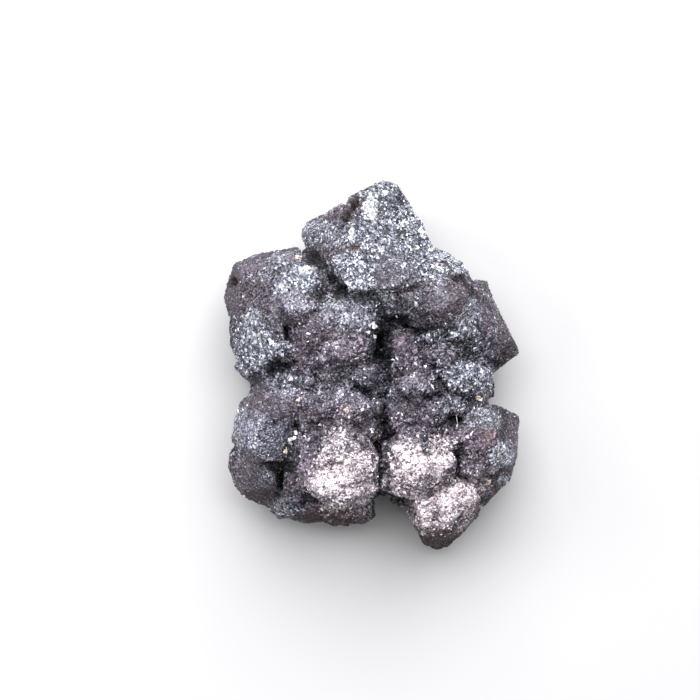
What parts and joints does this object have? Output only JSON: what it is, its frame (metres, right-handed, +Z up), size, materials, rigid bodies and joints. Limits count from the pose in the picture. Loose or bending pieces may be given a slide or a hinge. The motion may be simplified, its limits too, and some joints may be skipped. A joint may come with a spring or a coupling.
{
  "type": "hematite pseudomorph",
  "caption": "Hand specimen of intergrown octahedral hematite crystals round a drusy middle with pale crusts, flat on its broken back",
  "frame": {"origin": "the centre of the outline, in the plane of the broken back that the specimen rests on", "axes": "+Z up, away from the broken back towards the crystal face; +Y along the length, towards the largest crystal; +X across the width"},
  "size_m": [0.0296, 0.037, 0.0176],
  "materials": {
    "hematite": "dark grey with a metallic sparkle, drusy and rough, brown-purple where it is dull",
    "pale_crust": "pinkish-white, sugary and matt",
    "ochre_grain": "cream to ochre, matt"
  },
  "bodies": {
    "root": {"crystal_cluster": "hematite"}
  },
  "joints": []
}
